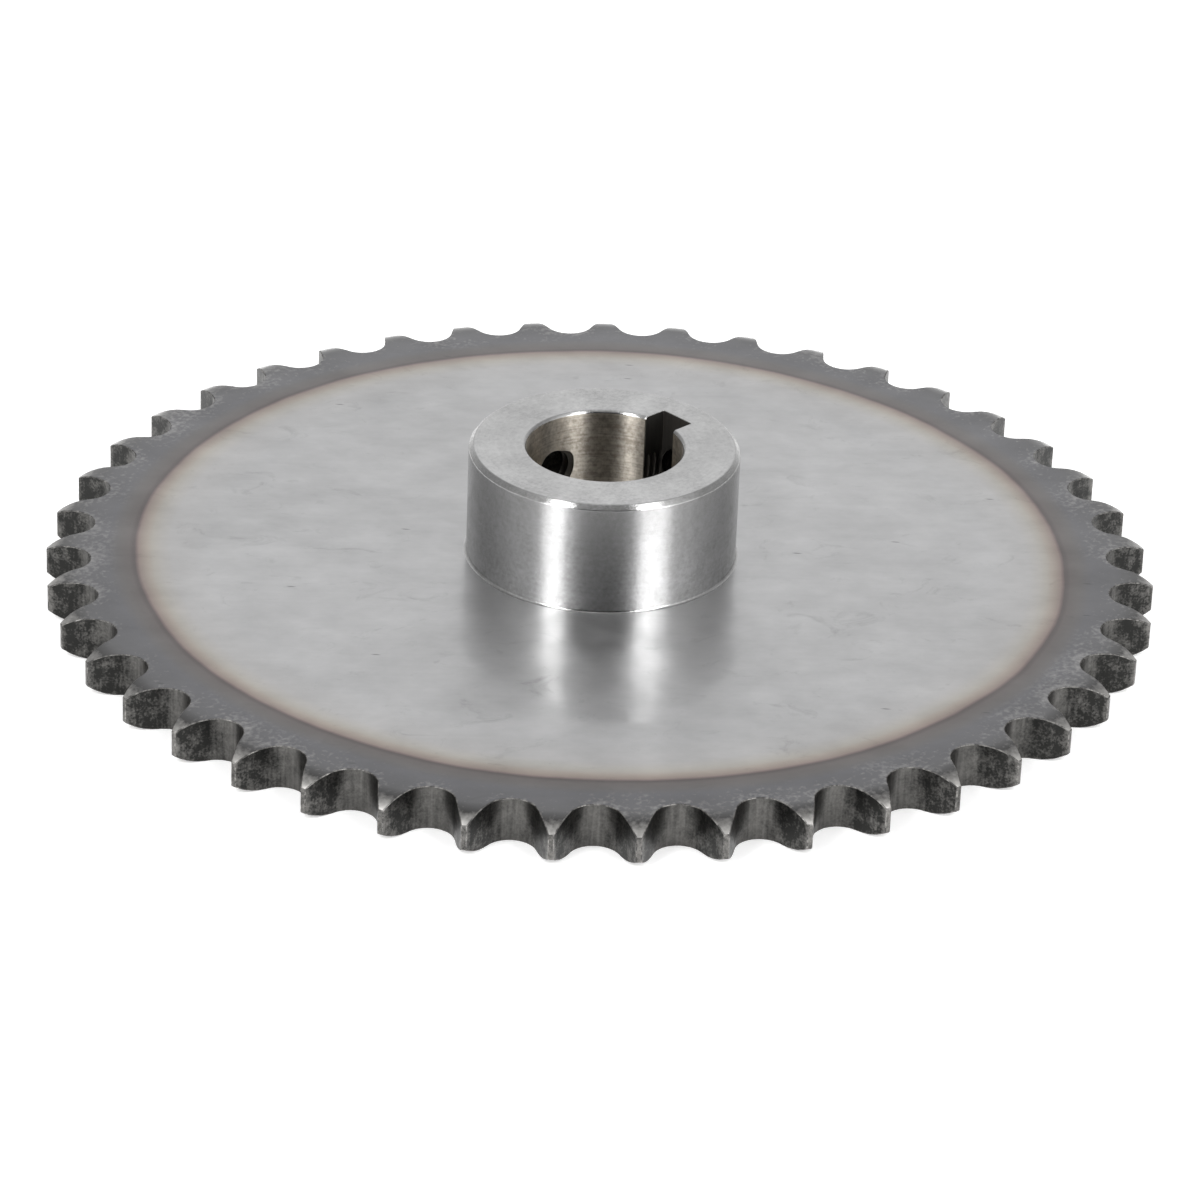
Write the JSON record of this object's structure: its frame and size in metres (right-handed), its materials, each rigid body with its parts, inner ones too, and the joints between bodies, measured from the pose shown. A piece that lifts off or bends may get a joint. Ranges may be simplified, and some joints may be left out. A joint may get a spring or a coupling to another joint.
{
  "type": "chain sprocket",
  "caption": "Plate-wheel chain sprocket with a one-sided hub, keyed bore, set screws and hardened teeth, for half-inch pitch roller chain.",
  "frame": {"origin": "centre of the bore at the flat rear face, which the sprocket lies on", "axes": "+Z along the bore, from the rear face towards the hub face; +X along the keyway"},
  "size_m": [0.1802, 0.1802, 0.0263],
  "materials": {
    "machined_steel": "bright turned steel, with a dark blue-grey induction-hardened rim and teeth",
    "black_oxide_steel": "black oxide on alloy steel"
  },
  "bodies": {
    "root": {"sprocket": "machined_steel", "key_set_screw": "black_oxide_steel", "shaft_set_screw": "black_oxide_steel"}
  },
  "joints": []
}
